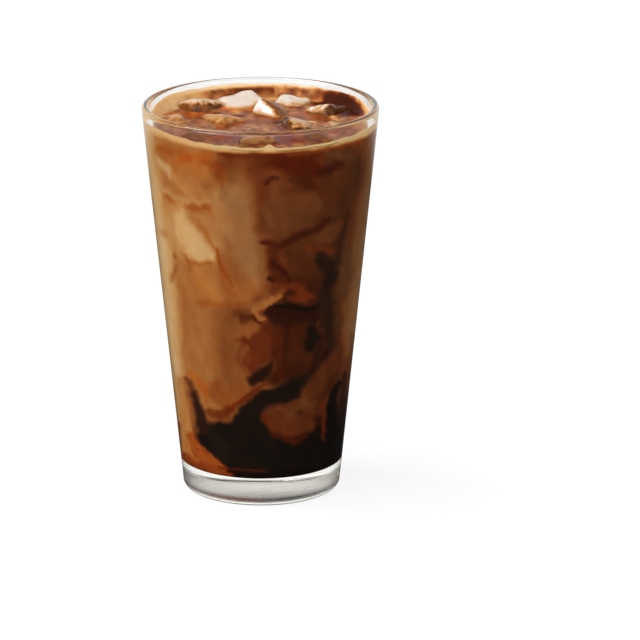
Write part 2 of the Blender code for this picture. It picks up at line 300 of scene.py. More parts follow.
    ("light fleck", -0.08, 1.1, 0.7, 0.9, [(-10.6, 64, 0.7), (-7.6, 65.2, 0.9), (-4.6, 64.2, 0.7)]),
    ("drop's outline", 0.55, 1.3, 1.3, 0.45,
     [(-9, 62.6, 0.4), (-6.6, 61.4, 0.7), (-8.4, 59.4, 0.4), (-8.6, 57, 0.5), (-8, 54, 0.6), (-6, 51, 0.6)]),
    ("dark seam, middle", 1.15, 1.1, 1.5, 0.6,
     [(9.4, 70, 0.8), (9, 65, 0.8), (9.6, 60, 0.8), (9, 55.4, 0.8)]),
    ("brown loops", 0.78, 1.12, 1.2, 0.85,
     [(16.4, 67.6, 1), (13.6, 63.4, 1.4), (14.6, 60, 1.3), (13.6, 56.4, 1.2), (18.6, 56.6, 1.2)]),
    ("olive spot", 1.6, 0.48, 1.4, 0.95, [(19, 66.4, 1.8), (20, 63.6, 2.7), (18, 60, 1.7)]),
    ("dark thread, lower right", 1.4, 0.8, 0.9, 0.9,
     [(24.6, 57.4, 1), (21.4, 52.8, 1), (17, 50.2, 1), (11.6, 47.8, 1)]),
    ("rust thread", 0.7, 1.3, 0.8, 0.85, [(8.4, 49.8, 0.6), (13, 51.2, 0.8), (18.4, 53.6, 0.8)]),
    ("bright amber, lower left", -0.5, 1.5, 1.2, 0.9,
     [(-27.6, 50.4, 0.6), (-24.4, 47.6, 1), (-21.6, 44.4, 1.1), (-20.4, 40.4, 0.7)]),
    ("caramel foot", -0.05, 1.18, 1.4, 0.9, [(-17, 44, 3.4), (-13, 41, 3.6), (-9, 43, 3)]),
    ("black mass", 1.78, 0.42, 1.1, 1,
     [(-19, 26, 4.6), (-14, 24, 7.6), (-4, 22, 10.4), (8, 18, 9), (20, 18, 9), (28, 20, 7)]),
    ("black mass, left toe", 1.75, 0.45, 0.9, 1, [(-12, 20, 4), (-6, 16, 4), (4, 14, 4)]),
    ("black mass, arm", 1.72, 0.48, 1.2, 1, [(-7, 28, 6), (-5, 32.5, 4.6), (-3, 35.5, 3.2)]),
    ("black mass, grey left", 1.48, 0.3, 2.5, 0.6, [(-18, 27, 2.5), (-15, 21, 3)]),
    ("black shoulder", 1.62, 0.56, 1.2, 1,
     [(-4.4, 34.8, 3.2), (0.5, 39.6, 3.2), (7, 42, 3), (14, 44, 3.4), (18.4, 48, 2.6)]),
    ("black trail up", 1.2, 0.9, 1.6, 0.85, [(18.6, 48.6, 2.4), (20.4, 54, 1.8), (22, 60, 1.4)]),
    ("dark between", 0.98, 1.12, 1.6, 0.85, [(4, 48, 2.2), (10, 50, 2.6), (15, 52, 2.4)]),
    ("black wedge", 1.42, 0.8, 1.3, 0.95,
     [(-3.4, 47.4, 1.8), (-1.2, 49.2, 2.6), (1.8, 51.2, 1.8), (3.4, 53.4, 0.8)]),
    ("rust above the wedge", 0.8, 1.35, 0.9, 0.7, [(5, 47, 1.2), (7.4, 51, 1.2)]),
    ("caramel foot, shade", 0.3, 1.2, 1, 0.9, [(-19.6, 35.4, 1.4), (-16.6, 34.4, 1.6), (-13, 36, 1.6)]),
    ("red edge of the mass", 0.42, 1.48, 0.8, 0.9,
     [(-14, 35.6, 0.7), (-10, 37.6, 1), (-6.4, 40, 1.1), (-2, 43.2, 1), (1.6, 46, 0.6)]),
    ("brown band", 0.5, 1.04, 1.6, 1,
     [(29.6, 59, 1.6), (26.6, 54, 3), (22.6, 48.4, 3.4), (18.4, 42.4, 3.4), (16, 37.6, 3.2)]),
    ("orange cloud, top", 0.54, 1.06, 1.8, 1, [(3.4, 36, 2), (9, 36.2, 2.6), (15, 36.6, 3), (20, 36, 2.2)]),
    ("orange cloud", 0.5, 1.1, 1.8, 1, [(5.4, 31, 3.2), (11, 30.4, 5), (16.4, 30.4, 3.6)]),
    ("orange cloud, red left", 0.42, 1.42, 1.2, 0.8, [(1.4, 35, 0.8), (3, 31.6, 1), (3.6, 28.4, 0.8)]),
    ("orange cloud, red foot", 0.72, 1.48, 0.9, 0.9,
     [(4, 27, 1), (9, 25, 1.4), (14, 24, 1.2), (16.6, 26, 1)]),
    ("orange cloud, red thread", 0.36, 1.42, 0.7, 0.7, [(6, 27.4, 0.4), (11, 26.4, 0.5), (15, 27, 0.4)]),
    ("olive light", 0.22, 1, 0.9, 0.8, [(6.6, 36.8, 0.7), (8.8, 36.2, 0.7)]),
    ("lit middle of the cloud", 0.26, 1, 2.4, 0.8, [(11, 34, 2), (16, 38.6, 1.8), (18, 37.6, 1.4)]),
    ("small dark stroke", 0.95, 1, 0.6, 0.7, [(13, 34.6, 0.3), (15.4, 35.4, 0.5)]),
    ("black bite", 1.8, 0.5, 0.8, 1, [(18.6, 24, 1.8), (20.4, 27.4, 0.9), (20.6, 29.4, 0.3)]),
    ("orange streak", 0.38, 1.36, 0.8, 0.9,
     [(22.8, 39, 0.9), (23.6, 34, 0.9), (23.4, 28, 0.8), (23, 24, 0.3)]),
    ("right black", 1.92, 0.55, 0.9, 1,
     [(29.6, 46.8, 0.6), (27, 42, 1.4), (26.4, 36, 1.9), (27, 29, 2.6), (27, 22, 2.8)]),
    ("right strip", 1.3, 0.9, 1.2, 0.8,
     [(31.4, 50, 0.8), (30.6, 42, 0.9), (30.2, 34, 0.7), (29.6, 27, 0.3)]),
    # The amber and orange at the lower left are partly the drink's colour and partly painted light, where
    # light comes through from the left, brightest in the orange corner's bright patch; the pale lower left
    # edge is painted reflection
    ("amber left side", -0.68, 1.12, 1.2, 1,
     [(-30.6, 47, 0.8), (-29.8, 40, 1.4), (-28.6, 33, 1.8), (-28.4, 26, 2.4), (-28, 20, 2.2)]),
    ("lower left edge, painted reflection", -0.95, 0.95, 0.9, 0.9, [(-32.4, 48, 0.6), (-31.6, 40, 0.7), (-30.8, 32, 0.6)]),
    ("brown shade beside the finger", -0.08, 1.15, 0.9, 0.85,
     [(-27.4, 43, 0.6), (-26, 38, 1), (-26, 33, 0.8)]),
    ("orange corner", -0.3, 1.5, 0.8, 1,
     [(-27, 27, 1.2), (-25, 23, 2), (-22, 19.4, 2.4), (-18.8, 16.4, 2.2), (-14.6, 13.8, 1.4)]),
    ("orange corner, foot", -0.1, 1.5, 0.8, 1,
     [(-28, 17, 3), (-23, 14, 3), (-18, 12, 2.6), (-12, 10.8, 1.4)]),
    ("orange corner, bright", -0.62, 1.34, 1, 0.8, [(-28.6, 24, 1), (-27.4, 20.4, 1.2), (-24, 17.6, 0.8)]),
    ("orange corner, thread", 0.1, 1.4, 0.5, 0.7,
     [(-24.4, 21.6, 0.2), (-21.6, 20.6, 0.3), (-19.6, 19, 0.2)]),
    ("dark finger, top", 0.52, 0.86, 0.9, 0.95, [(-28.6, 48.8, 0.5), (-26.8, 46.2, 1.1), (-25.2, 42, 1.3)]),
    ("dark finger", 1.22, 0.72, 1.1, 1,
     [(-25.2, 42.6, 0.8), (-23.8, 37.6, 1.5), (-22.4, 32.4, 1.9), (-21.4, 29, 2)]),
    ("rust along the floor", 0.36, 1.48, 0.5, 0.9,
     [(-16, 14.2, 0.6), (-11, 13.5, 0.5), (-4, 13.4, 0.4), (2, 13.2, 0.3)]),
]

# The far side, which no picture shows, gets plumes of the same kind
BACK_PLUMES = 46
BACK_SEED = 7

# Each piece of ice: how white its painted highlight is on the side that shines, how cloudy it is elsewhere,
# how many mm it floats above where the part has it, and the side that shines, which gets the painted
# highlight: x, y, z
ICE_LOOKS = [
    (0.93, 0.48, 1.5, (-0.2, -0.1, 0.9)),
    (1.00, 0.22, 3.0, (-0.7, -0.5, 0.5)),
    (0.85, 0.12, 2.2, (-0.1, 0.1, 1.0)),
    (0.94, 0.50, 1.5, (-0.1, 0.1, 0.9)),
    (1.00, 0.06, 1.8, (-0.8, 0.1, 0.5)),
    (0.70, 0.04, 0.9, (0.6, 0.2, 0.8)),
    (0.55, 0.28, 0.8, (-0.3, -0.2, 0.9)),
    (0.65, 0.34, 1.0, (-0.4, 0.3, 0.8)),
    (0.24, 0.15, 0.4, (-0.3, -0.2, 0.9)),
    (0.40, 0.14, 0.3, (0.2, -0.3, 0.9)),
    (0.24, 0.15, 0.4, (0.5, -0.1, 0.9)),
    (0.80, 0.30, 1.2, (-0.7, -0.2, 0.6)),
]

# Ice by how cloudy it is and how white its painted highlight is, from none to all: its colours, how clear it
# is and how rough. Its dimples have a scale and detail, and a depth in metres
ICE_COLOURS = [
    (0.0, (0.060, 0.016, 0.004)),
    (0.25, (0.26, 0.085, 0.016)),
    (0.50, (0.46, 0.205, 0.06)),
    (0.75, (0.54, 0.35, 0.20)),
    (0.92, (0.60, 0.50, 0.41)),
    (1.0, (0.74, 0.70, 0.65)),
]
ICE_CLEARNESS = (0.30, 0.05)
ICE_ROUGHNESS = (0.04, 0.16)
ICE_DIMPLES = (380.0, 3.0)
ICE_DIMPLE_DEPTH = 0.0002
ICE_LAMP_TINT = (0.96, 0.93, 0.89)
ICE_IOR = 1.31

# Patches on the top, written as the plumes are, but with each point's x and y from above
TOP_PATCHES = [
    ("brown front", 0.42, 1.85, 3.5, 0.9, [(-9, -24, 6), (0, -26, 9), (10, -25, 8), (16, -22, 4)]),
    ("amber front, right", 0.05, 1.85, 2.5, 0.8, [(18, -20, 3), (26, -15, 4)]),
    ("amber front, left", -0.15, 1.55, 2.5, 0.8, [(-16, -25, 3), (-27, -20, 4)]),
    ("brown middle", 0.32, 1.25, 4, 0.6, [(-14, 3, 5), (4, 1, 6), (20, 4, 5)]),
    ("amber middle", -0.2, 1.45, 1.6, 0.7, [(-20, 5, 1.2), (-14, 10, 1.6), (-4, 9, 1.2)]),
    ("amber, right of the middle", -0.1, 1.4, 1.4, 0.7, [(4, 12, 1.2), (12, 10, 1.6), (18, 12, 1)]),
    ("caramel left", -0.62, 1.3, 2, 0.8, [(-38, 4, 2), (-36, -6, 2.2), (-30, -12, 2)]),
    ("dark pool, right", 1.02, 1.3, 2, 1, [(22, 30, 3.5), (30, 22, 6), (34, 12, 5)]),
    ("pale back", -0.55, 0.8, 1.5, 0.8, [(-16, 33, 1.5), (-4, 35.5, 1.8), (8, 34, 1.4)]),
    ("dark back", 0.8, 1.15, 0.8, 0.9, [(-17, 37.6, 0.8), (-6, 39.8, 0.9), (4, 39.8, 0.6)]),
    ("pale foam, back left", -1.05, 0.8, 2.5, 0.85,
     [(-39, 8, 1.8), (-35, 19, 2.5), (-28, 25, 3.5), (-21, 31, 3)]),
    ("golden back", -0.75, 0.95, 1.6, 0.9, [(4, 35, 2.6), (14, 33, 2.6), (22, 31, 1.6)]),
    ("amber pool, back", -0.75, 1.5, 1.2, 1, [(-14, 20, 1.5), (-6, 19, 2.4), (1, 19, 1.5)]),
    ("orange pool, left", -0.25, 1.6, 1.6, 0.9, [(-33, 12, 2), (-28, 9, 2.5), (-22, 10, 1.6)]),
    ("dark spot", 1.3, 1, 1, 1, [(-10.5, 8, 1.4), (-7, 8.4, 1.6)]),
    ("dark cleft", 0.95, 1.2, 1.2, 0.9, [(6, -2, 2), (11, -1, 2.4)]),
    ("cream patch, right", -1.05, 0.95, 1.2, 0.9, [(14.5, -3, 1.6), (19, -2, 1.8)]),
    ("amber foot of the cube", -0.5, 1.6, 1, 1, [(-15, 20, 2), (-5, 18, 2.6), (1, 19, 1.6)]),
    ("cream chevron", -0.95, 0.85, 1, 0.9, [(22, 22, 1), (24, 14, 1.6), (27, 6, 1.2), (29, 1, 0.8)]),
    ("rose haze, right", -0.6, 1.15, 3, 0.8, [(38, 4, 3), (37, -10, 3)]),
]

# The foam ring on the top: the turn from the front in degrees, and its width there in mm
COLLAR_WIDTHS = [
    (-180, 0.9), (-120, 1.6), (-70, 1.9), (0, 1.5), (70, 1.6),
    (105, 0.9), (130, 0.2), (155, 0.5), (180, 0.9),
]


def set_inputs(tree, node, **inputs):
    """Sets a node's inputs to values or links them from sockets."""
    for name, value in inputs.items():
        socket = node.inputs[name.replace("_", " ")]
        if isinstance(value, bpy.types.NodeSocket):
            tree.links.new(value, socket)
        else:
            socket.default_value = value


def linked(tree, kind, **inputs):
    """A new node with its inputs set."""
    node = tree.nodes.new(kind)
    set_inputs(tree, node, **inputs)
    return node


def new_material(name):
    material = bpy.data.materials.new(name)
    material.use_nodes = True
    return material, material.node_tree, material.node_tree.nodes["Principled BSDF"]


def noise(points, seed):
    """Gradient noise in three dimensions, about -1 to 1, its hills and hollows about a unit apart."""
    table = np.tile(np.random.RandomState(seed).permutation(256), 4)
    steps = np.random.RandomState(seed + 1).normal(size=(256, 3))
    steps /= np.linalg.norm(steps, axis=1)[:, None]
    cell = np.floor(points).astype(int)
    inside = points - cell
    cell &= 255
    fade = inside**3 * (inside * (inside * 6 - 15) + 10)
    total = np.zeros(len(points))
    for corner in np.ndindex(2, 2, 2):
        at = cell + corner
        key = table[table[table[at[:, 0]] + at[:, 1]] + at[:, 2]]
        share = np.prod(np.where(np.array(corner) == 1, fade, 1 - fade), axis=1)
        total += share * ((inside - corner) * steps[key]).sum(axis=1)
    return total * 1.6


def layered_noise(points, seed, octaves, gain=0.5):
    total = np.zeros(len(points))
    for octave in range(octaves):
        total += gain**octave * noise(points * 2.03**octave + 17.3 * octave, seed + 5 * octave)
    return total


def smooth_step(value, low, high):
    share = np.clip((value - low) / (high - low), 0, 1)
    return share * share * (3 - 2 * share)


def eased(share):
    """Runs from 0 to 1 with a level start and end."""
    return 0.5 - 0.5 * math.cos(math.pi * share)


def swelling(turn, place, spread):
    """A smooth hill round a turn from the front, all in degrees."""
    return np.exp(-(((turn - place) / spread) ** 2))


def turn_from_front(points):
    """How far round from the front each point lies, rising to the right, in radians."""
    return np.arctan2(points[:, 0], -points[:, 1])


def back_share(points):
    """How much of its climb at the back the drink has at each point."""
    return smooth_step(points[:, 1], BACK_START, BACK_END)


def outer_radius(z):
    """The glass's outside in millimetres, a straight taper from foot to mouth."""
    return FOOT_R + (MOUTH_R - FOOT_R) * z / HEIGHT


def inner_radius(z):
    return outer_radius(z) - WALL


def arc(centre, radius, start, end, steps):
    angles = np.radians(np.linspace(start, end, steps + 1))
    return [(centre[0] + radius * math.cos(a), centre[1] + radius * math.sin(a)) for a in angles]


def straight(start, end, steps):
    """Points between two ends, without the ends themselves."""
    shares = np.linspace(0, 1, steps + 1)[1:-1]
    return [tuple(np.array(start) * (1 - t) + np.array(end) * t) for t in shares]


def floor_profile(outset):
    """From the axis out along the glass's floor and round its corner, pushed outset into the glass."""
    centre_z = FLOOR_Z + FLOOR_SAG + FLOOR_CORNER
    centre_x = inner_radius(centre_z) - FLOOR_CORNER
    corner = arc((centre_x, centre_z), FLOOR_CORNER + outset, -90, 0, 10)
    start = (0.0, FLOOR_Z - outset)
    flat = []
    for x, z in straight(start, corner[0], 14):
        share = x / corner[0][0]
        flat.append((x, FLOOR_Z - outset + FLOOR_SAG * share**3))
    return [start] + flat + corner


def glass_profile():
    floor = floor_profile(0.0)
    lip_z = HEIGHT - LIP_R
    lip = arc((MOUTH_R - LIP_R, lip_z), LIP_R, 180, 0, 20)
    heel_x = outer_radius(HEEL_R) - HEEL_R
    heel = arc((heel_x, HEEL_R), HEEL_R, 0, -90, 12)
    ring = heel_x - FOOT_RING
    punt = ring - PUNT_SHOULDER
    shoulder = []
    for step in range(1, 7):
        share = step / 6
        shoulder.append((ring - PUNT_SHOULDER * share, PUNT_RISE * eased(share)))
    under = [(ring, 0.0)] + shoulder + [(punt * 0.66, PUNT_RISE * 1.12), (punt * 0.33, PUNT_RISE * 1.22)]
    walls_in = straight(floor[-1], lip[0], 24)
    walls_out = straight(lip[-1], heel[0], 24)
    return floor + walls_in + lip + walls_out + heel + under + [(0.0, PUNT_RISE * 1.25)]


def drink_profile():
    """Surface from the axis out, foam collar, side and floor, just into the glass."""
    rim_z = LEVEL + FOAM_RISE
    rim_x = inner_radius(rim_z) + INTO_WALL
    collar_x = rim_x - FOAM_WIDTH
    surface = [(0.0, LEVEL)] + straight((0.0, LEVEL), (collar_x, LEVEL), int(collar_x / TOP_ROW))
    collar = []
    for step in range(9):
        share = step / 8
        collar.append((collar_x + FOAM_WIDTH * share, LEVEL + FOAM_RISE * eased(share)))
    floor = floor_profile(INTO_WALL)[::-1]
    side = straight(collar[-1], floor[0], int((rim_z - floor[0][1]) / SIDE_ROW))
    return surface + collar + side + floor


def turned_mesh(name, profile, steps, crowd=0.0):
    """A closed mesh of revolution from a profile in mm, its steps closer at the front if crowded."""
    angles = np.arange(steps) * 2 * math.pi / steps
    angles -= crowd * np.sin(angles)
    rows = profile[1:-1]
    ring = np.stack([np.sin(angles), -np.cos(angles)], axis=1)
    points = [(0.0, 0.0, profile[0][1])]
    for x, z in rows:
        points += [(x * a, x * b, z) for a, b in ring]
    points.append((0.0, 0.0, profile[-1][1]))
    last = len(points) - 1
    faces = []
    for step in range(steps):
        after = (step + 1) % steps
        faces.append((0, 1 + step, 1 + after))
        for row in range(len(rows) - 1):
            low, high = 1 + row * steps, 1 + (row + 1) * steps
            faces.append((low + step, high + step, high + after, low + after))
        end = 1 + (len(rows) - 1) * steps
        faces.append((end + step, last, end + after))
    mesh = bpy.data.meshes.new(name)
    mesh.from_pydata([(x * MM, y * MM, z * MM) for x, y, z in points], [], faces)
    if signed_volume(mesh) < 0:
        mesh.flip_normals()
    mesh.shade_smooth()
    return mesh


def coordinates(mesh):
    """The mesh's points as an array, in millimetres."""
    flat = np.empty(len(mesh.vertices) * 3)
    mesh.vertices.foreach_get("co", flat)
    return flat.reshape(-1, 3) / MM


def set_coordinates(mesh, points):
    mesh.vertices.foreach_set("co", (points * MM).ravel())
    mesh.update()


def point_normals(mesh):
    flat = np.empty(len(mesh.vertices) * 3)
    mesh.vertex_normals.foreach_get("vector", flat)
    return flat.reshape(-1, 3)


def signed_volume(mesh):
    bm = bmesh.new()
    bm.from_mesh(mesh)
    volume = bm.calc_volume(signed=True)
    bm.free()
    return volume


def placed(name, data):
    """A new object in the scene."""
    obj = bpy.data.objects.new(name, data)
    bpy.context.scene.collection.objects.link(obj)
    return obj


def new_piece(name, mesh, node):
    """A piece that rides with the glass and stands for a node of the part."""
    piece = placed(name, mesh)
    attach(piece, "root")
    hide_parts(node)
    return piece


def evaluated_mesh(obj):
    """The object's mesh with its modifiers applied."""
    graph = bpy.context.evaluated_depsgraph_get()
    return bpy.data.meshes.new_from_object(obj.evaluated_get(graph), depsgraph=graph)


def blend_shaders(tree, first, second, share):
    """Sends the surface a blend of two shaders."""
    mix = linked(tree, "ShaderNodeMixShader", Fac=share)
    tree.links.new(first.outputs[0], mix.inputs[1])
    tree.links.new(second.outputs[0], mix.inputs[2])
    tree.links.new(mix.outputs[0], tree.nodes["Material Output"].inputs["Surface"])


def pass_lamps(tree, shader, lamp_tint):
    """Lets lamps shine through a clear shader onto what is behind it."""
    path = tree.nodes.new("ShaderNodeLightPath")
    through = linked(tree, "ShaderNodeBsdfTransparent", Color=(*lamp_tint, 1))
    blend_shaders(tree, shader, through, path.outputs["Is Shadow Ray"])


def ranged(tree, value, low, high, start=0.0, end=1.0):
    """A value stretched from one range to another."""
    limits = {"From_Min": start, "From_Max": end, "To_Min": low, "To_Max": high}
    return linked(tree, "ShaderNodeMapRange", Value=value, **limits).outputs[0]


def keep(mesh, name, values):
    """Keeps a value at each point of a mesh, for its material."""
    attribute = mesh.attributes.new(name, "FLOAT", "POINT")
    attribute.data.foreach_set("value", values.astype(np.float32))


def kept(tree, name):
    """The value kept under a name at each point of the mesh."""
    node = tree.nodes.new("ShaderNodeAttribute")
    node.attribute_name = name
    return node.outputs["Fac"]


def grain(tree, scale, detail, distortion=0.0):
    """Fine noise through the object's own space."""
    place = tree.nodes.new("ShaderNodeTexCoord").outputs["Object"]
    looks = {"Scale": scale, "Detail": detail, "Distortion": distortion}
    return linked(tree, "ShaderNodeTexNoise", Vector=place, **looks).outputs[0]


def bumped(tree, height, depth):
    """The surface's direction as small bumps turn it, their depth in metres."""
    return linked(tree, "ShaderNodeBump", Height=height, Distance=depth, Strength=1.0).outputs[0]


def glass_material(name, tint, smooth, rough, unevenness):
    """Clear glass with the faint unevenness of a pressed tumbler."""
    material, tree, shader = new_material(name)
    waves = grain(tree, *GLASS_WAVES)
    set_inputs(tree, shader, Base_Color=(*tint, 1), Transmission_Weight=1.0, IOR=GLASS_IOR)
    set_inputs(tree, shader, Roughness=ranged(tree, waves, smooth, rough, 0.3, 0.75))
    set_inputs(tree, shader, Normal=bumped(tree, waves, unevenness))
    pass_lamps(tree, shader, GLASS_LAMP_TINT)
    return material


def ice_material():
    """Melting ice, from clear brown where it holds the drink's colour to white where it is cloudy or has a
    painted highlight.
    """
    material, tree, shader = new_material("ice")
    frost_and_highlight = kept(tree, "frost_and_highlight")
    tints = linked(tree, "ShaderNodeValToRGB", Fac=frost_and_highlight)
    stops = tints.color_ramp.elements
    for element, (place, colour) in zip([stops[0], stops[1]], (ICE_COLOURS[0], ICE_COLOURS[-1])):
        element.position, element.color = place, (*colour, 1)
    for place, colour in ICE_COLOURS[1:-1]:
        stops.new(place).color = (*colour, 1)
    set_inputs(tree, shader, Base_Color=tints.outputs["Color"])
    set_inputs(tree, shader, Transmission_Weight=ranged(tree, frost_and_highlight, *ICE_CLEARNESS))
    set_inputs(tree, shader, Roughness=ranged(tree, frost_and_highlight, *ICE_ROUGHNESS))
    set_inputs(tree, shader, IOR=ICE_IOR, Specular_IOR_Level=0.06, Coat_Weight=0.04, Coat_Roughness=0.03)
    set_inputs(tree, shader, Normal=bumped(tree, grain(tree, *ICE_DIMPLES), ICE_DIMPLE_DEPTH))
    pass_lamps(tree, shader, ICE_LAMP_TINT)
    return material


def worked(tree, operation, first, second=None):
    """The result of a Math node on sockets or numbers."""
    node = tree.nodes.new("ShaderNodeMath")
    node.operation = operation
    for socket, value in zip(node.inputs, (first, second)):
        if isinstance(value, bpy.types.NodeSocket):
            tree.links.new(value, socket)
        elif value is not None:
            socket.default_value = value
    return node.outputs[0]


def brew_colour(tree, level, warmth):
    """The light that a mix of coffee and milk sends back, by the rule for thick layers of paint."""
    share = worked(tree, "POWER", 10.0, level)
    colour = tree.nodes.new("ShaderNodeCombineColor")
    for channel, taken in enumerate((1.0, GREEN_TAKEN, BLUE_TAKEN)):
        dark = worked(tree, "MULTIPLY", share, worked(tree, "POWER", taken, warmth))
        under = worked(tree, "MULTIPLY", dark, worked(tree, "ADD", dark, 2.0))
        over = worked(tree, "ADD", dark, 1.0 + DARKEST)
        sent = worked(tree, "SUBTRACT", over, worked(tree, "SQRT", under))
        tree.links.new(sent, colour.inputs[channel])
    return colour.outputs[0]


def brew_material(name, roughness, shine, mottle, ripple):
    """Coffee and milk, coloured by the level and warmth kept at each point of the mesh."""
    material, tree, shader = new_material(name)
    fine = grain(tree, *DRINK_GRAIN)
    mottled = worked(tree, "MULTIPLY", worked(tree, "SUBTRACT", fine, 0.5), mottle)
    mixed = worked(tree, "ADD", kept(tree, "level"), mottled)
    set_inputs(tree, shader, Base_Color=brew_colour(tree, mixed, kept(tree, "warmth")))
    set_inputs(tree, shader, Roughness=roughness, Specular_IOR_Level=shine, IOR=DRINK_IOR)
    if ripple:
        set_inputs(tree, shader, Normal=bumped(tree, fine, ripple))
    return material


def make_glass():
    mesh = turned_mesh("glass_body", glass_profile(), GLASS_STEPS)
    mesh.materials.append(glass_material("glass_wall", *WALL_FINISH))
    mesh.materials.append(glass_material("glass_base", *BASE_FINISH))
    for polygon in mesh.polygons:
        polygon.material_index = int(polygon.center.z / MM < BASE_TOP)
    return new_piece("glass_body", mesh, "glass")


def ice_shape(node, number):
    """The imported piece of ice, rounded further and dimpled as melting leaves it."""
    rough = placed("ice_rough", node.data.copy())
    bm = bmesh.new()
    bm.from_mesh(rough.data)
    bmesh.ops.remove_doubles(bm, verts=bm.verts, dist=0.01 * MM)
    bm.to_mesh(rough.data)
    bm.free()
    smooth = rough.modifiers.new("Round", "SUBSURF")
    smooth.levels = 3
    smooth.render_levels = 3
    mesh = evaluated_mesh(rough)
    bpy.data.objects.remove(rough)
    mesh.materials.clear()
    points = coordinates(mesh)
    normals = point_normals(mesh)
    swell = 0.60 * noise(points / 6.0 + number, 40 + number) + 0.22 * noise(points / 2.4, 60 + number)
    afloat = np.array([0.0, 0.0, ICE_LOOKS[number - 1][2]])
    set_coordinates(mesh, points + normals * (swell + 0.25)[:, None] + afloat)
    mesh.shade_smooth()
    return mesh


def paint_frost_and_highlight(mesh, number):
    """Keeps at each point how cloudy the ice is, with a painted highlight: most on the side that shines and
    clear of the drink.
    """
    highlight_whiteness, elsewhere, _, side = ICE_LOOKS[number - 1]
    points = coordinates(mesh)
    # Painted highlight: white on the side that faces the light, only above the drink, broken up by the cloud
    shine = point_normals(mesh) @ np.array(side) / np.linalg.norm(side)
    cloud = 0.34 * noise(points / 2.8, 80 + number) + 0.18 * noise(points / 1.2, 90 + number)
    patchy = shine + (1.6 - highlight_whiteness) * cloud
    painted_highlight = smooth_step(patchy, 0.45, 0.95) * smooth_step(points[:, 2], LEVEL - 0.2, LEVEL + 1.8)
    frost_and_highlight = elsewhere + (highlight_whiteness - elsewhere) * painted_highlight + 0.5 * cloud * (1 - painted_highlight)
    keep(mesh, "frost_and_highlight", np.clip(frost_and_highlight, 0, 1))


def make_ice():
    material = ice_material()
    pieces = []
    numbered = sorted(name for name in frame["nodes"] if name.startswith("ice"))
    for number, name in enumerate(numbered, 1):
        mesh = ice_shape(frame["nodes"][name], number)
        mesh.name = f"ice_cube_{number:02d}"
        paint_frost_and_highlight(mesh, number)
        mesh.materials.append(material)
        pieces.append(new_piece(mesh.name, mesh, name))
    return pieces


def distance_to_plume(across, up, points):
    """How far outside a plume each place lies, in mm, below zero inside it."""
    nearest = np.full(len(across), 1e9)
    for (x_a, y_a, r_a), (x_b, y_b, r_b) in zip(points[:-1], points[1:]):
        along = np.array([x_b - x_a, y_b - y_a], dtype=float)
        away = np.stack([across - x_a, up - y_a], axis=1)
        share = np.clip(away @ along / (along @ along), 0, 1)
        gap = np.linalg.norm(away - along * share[:, None], axis=1) - (r_a + (r_b - r_a) * share)
        nearest = np.minimum(nearest, gap)
    return nearest


def as_seen(points):
    """Where the front of the drink's side shows through the bending wall: mm across and mm up."""
    turn = turn_from_front(points)
    height = points[:, 2]
    outside, inside = outer_radius(height), inner_radius(height)
    share = np.sin(turn) * inside / outside
    for _ in range(5):
        leaving = np.arcsin(np.clip(share * outside / (GLASS_IOR * inside), -1, 1))
        bent = leaving - np.arcsin(share / GLASS_IOR)
        share = np.sin(np.clip(turn - bent, -math.pi / 2, math.pi / 2))
    rise = math.radians(CAMERA_RISE_DEG)
    front = outside * np.sqrt(1 - share**2)
    above = height + SIGHT_RISE - AXIS_POINT_Z
    nearer = front * math.cos(rise) + above * math.sin(rise)
    grown = CAMERA_DISTANCE / (CAMERA_DISTANCE - nearer)
    up = above * math.cos(rise) - front * math.sin(rise)
    return share * outside * grown, up * grown + SEEN_AXIS_POINT_UP


def back_plumes():
    """Plumes for the side away from the camera, milky above and dark below."""
    draw = np.random.RandomState(BACK_SEED)
    plumes = []
    for _ in range(BACK_PLUMES):
        turn = draw.uniform(95, 265)
        height = draw.uniform(20, 138)
        lean, bend = draw.uniform(-20, 20), draw.uniform(-7, 7)
        fall = draw.uniform(10, 34)
        width = draw.uniform(1.2, 6.5)
        reach = math.pi / 180 * inner_radius(height)
        dark = smooth_step(np.array([height - fall / 2]), 62, 18)[0]
        level = draw.uniform(-0.8, 0.55) + 1.1 * dark
        points = []
        for step in range(5):
            share = step / 4
            across = turn + lean * share + bend * math.sin(4.5 * share)
            points.append((across * reach, height - fall * share, width * (1.0 - 0.85 * share)))
        plumes.append(("far plume", level, draw.uniform(0.8, 1.35), 0.9 + 0.5 * width, 0.85, points))
    return plumes


def swirled(points, seed):
    """Where the stirring has carried each point from, in millimetres."""
    moved = points.copy()
    for wave, reach in ((9.0, 0.8), (4.0, 0.8), (1.9, 0.45), (1.0, 0.2)):
        drift = [noise(moved / wave + 3.1 * axis, seed + 11 * axis + int(wave)) for axis in range(3)]
        moved = moved + reach * np.stack(drift, axis=1)
    return moved


def painted(level, warmth, plumes, across, up, share):
    """Lays plumes over one another, each as strong as its share allows."""
    for _, plume_level, plume_warmth, blur, strength, spots in plumes:
        gap = distance_to_plume(across, up, spots)
        mask = (1 - smooth_step(gap, -blur, blur)) * strength * share
        level += (plume_level - level) * mask
        warmth += (plume_warmth - warmth) * mask


def side_levels(points):
    """Level and warmth of the drink where it meets the glass."""
    moved = swirled(points, 3)
    turn = turn_from_front(moved) % (2 * math.pi)
    height = moved[:, 2]
    level = 0.05 + 1.5 * smooth_step(height, 48, 22) + 0.25 * noise(moved / 18.0, 90)
    warmth = np.full(len(points), 1.05)
    painted(level, warmth, back_plumes(), turn * inner_radius(height), height, 1.0)
    frontness = -moved[:, 1] / inner_radius(height) + 0.15 * noise(moved / 12.0, 160)
    facing = smooth_step(frontness, -0.55, -0.14)
    across, up = as_seen(moved)
    painted(level, warmth, FRONT_PLUMES, across, up, facing)
    level += 0.10 * layered_noise(moved * np.array([0.22, 0.22, 0.12]), 120, 4)
    warmth += 0.05 * noise(moved / 9.0, 150)
    return level, warmth


